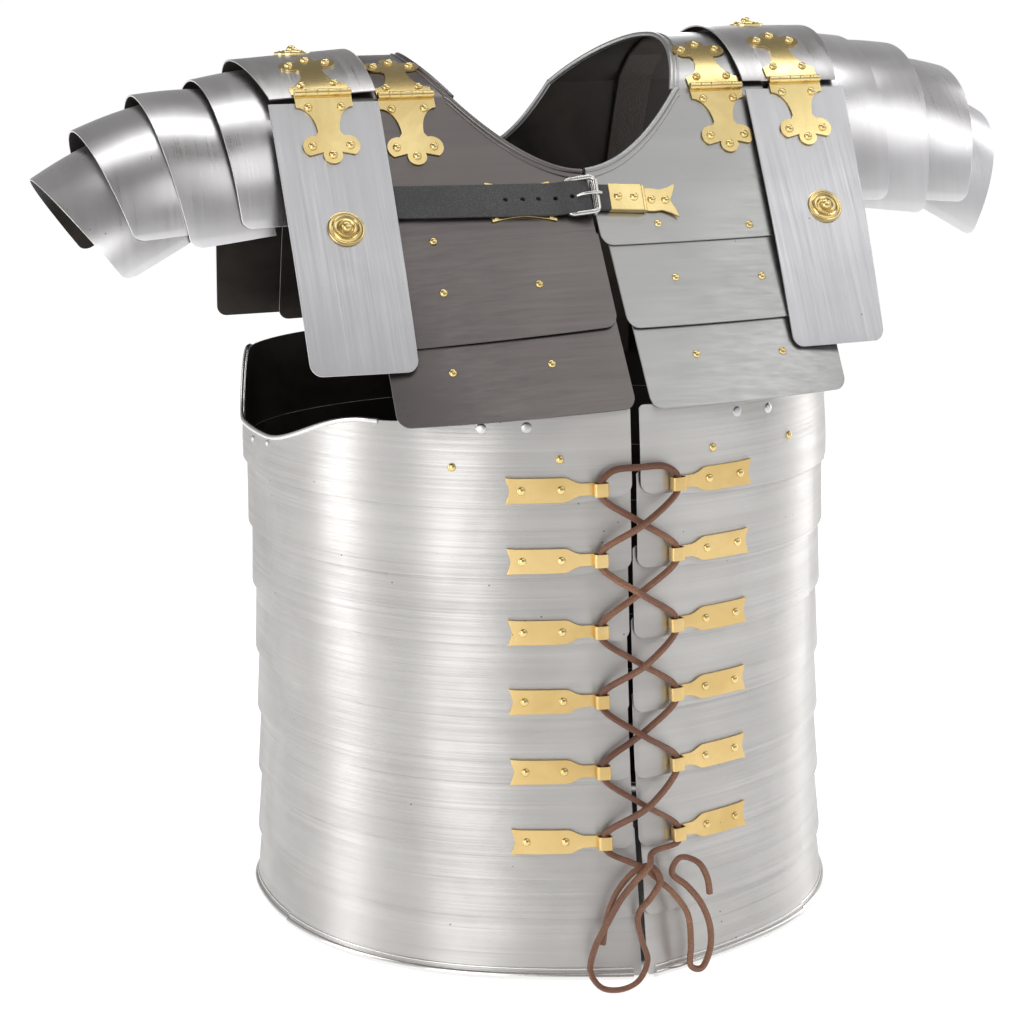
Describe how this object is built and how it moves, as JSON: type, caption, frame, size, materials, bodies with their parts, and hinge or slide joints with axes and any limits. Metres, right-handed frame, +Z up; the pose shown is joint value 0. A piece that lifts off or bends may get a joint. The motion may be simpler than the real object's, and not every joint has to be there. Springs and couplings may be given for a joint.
{
  "type": "laced plate cuirass with shoulder guards",
  "caption": "Hollow plate body armour: lapped girth bands laced at the front, a hinged collar of plates over the shoulders, and curved arm plates.",
  "frame": {"origin": "middle of the bottom rim, on the surface it stands on", "axes": "+Z up through the trunk, -Y the wearer's front, +X the wearer's left"},
  "size_m": [0.712, 0.4234, 0.6358],
  "materials": {
    "steel": "satin, brushed",
    "brass": "polished",
    "nickel": "plated",
    "dark_leather": "matt",
    "brown_leather": "matt"
  },
  "bodies": {
    "cuirass": {"girth_band_1": "steel", "girth_band_2": "steel", "girth_band_3": "steel", "girth_band_4": "steel", "girth_band_5": "steel", "girth_band_6": "steel", "girth_band_7": "steel", "girth_band_8": "steel", "breast_top_right": "steel", "breast_mid_right": "steel", "breast_low_right": "steel", "shoulder_right": "steel", "back_top_right": "steel", "back_low_right": "steel", "guard_middle_right": "steel", "lesser_guard_right_1": "steel", "lesser_guard_right_2": "steel", "lesser_guard_right_3": "steel", "lesser_guard_right_4": "steel", "breast_top_left": "steel", "breast_mid_left": "steel", "breast_low_left": "steel", "shoulder_left": "steel", "back_top_left": "steel", "back_low_left": "steel", "guard_middle_left": "steel", "lesser_guard_left_1": "steel", "lesser_guard_left_2": "steel", "lesser_guard_left_3": "steel", "lesser_guard_left_4": "steel", "collar_hinge_front_right": "brass", "collar_hinge_back_right": "brass", "tie_loop_right_1": "brass", "tie_loop_right_2": "brass", "tie_loop_right_3": "brass", "tie_loop_right_4": "brass", "tie_loop_right_5": "brass", "tie_loop_right_6": "brass", "collar_hinge_front_left": "brass", "collar_hinge_back_left": "brass", "tie_loop_left_1": "brass", "tie_loop_left_2": "brass", "tie_loop_left_3": "brass", "tie_loop_left_4": "brass", "tie_loop_left_5": "brass", "tie_loop_left_6": "brass", "strap_fitting": "brass", "inner_leather_right": "brown_leather", "inner_leather_left": "brown_leather", "lace": "brown_leather", "chest_strap": "dark_leather", "buckle": "nickel"},
    "guard_front_right": {"guard_front_right": "steel", "guard_hinge_front_right": "brass"},
    "guard_back_right": {"guard_back_right": "steel", "guard_hinge_back_right": "brass"},
    "guard_front_left": {"guard_front_left": "steel", "guard_hinge_front_left": "brass"},
    "guard_back_left": {"guard_back_left": "steel", "guard_hinge_back_left": "brass"}
  },
  "joints": [
    {"name": "guard_front_right_hinge", "type": "hinge", "parent": "cuirass", "child": "guard_front_right", "pos_m": [-0.1715, -0.04811, 0.59539], "axis": [-1, 0, 0], "range_deg": [0, 70]},
    {"name": "guard_back_right_hinge", "type": "hinge", "parent": "cuirass", "child": "guard_back_right", "pos_m": [-0.1715, 0.12545, 0.59455], "axis": [1, 0, 0], "range_deg": [0, 70]},
    {"name": "guard_front_left_hinge", "type": "hinge", "parent": "cuirass", "child": "guard_front_left", "pos_m": [0.1715, -0.04879, 0.59462], "axis": [-1, 0, 0], "range_deg": [0, 70]},
    {"name": "guard_back_left_hinge", "type": "hinge", "parent": "cuirass", "child": "guard_back_left", "pos_m": [0.1715, 0.12603, 0.5937], "axis": [1, 0, 0], "range_deg": [0, 70]}
  ]
}
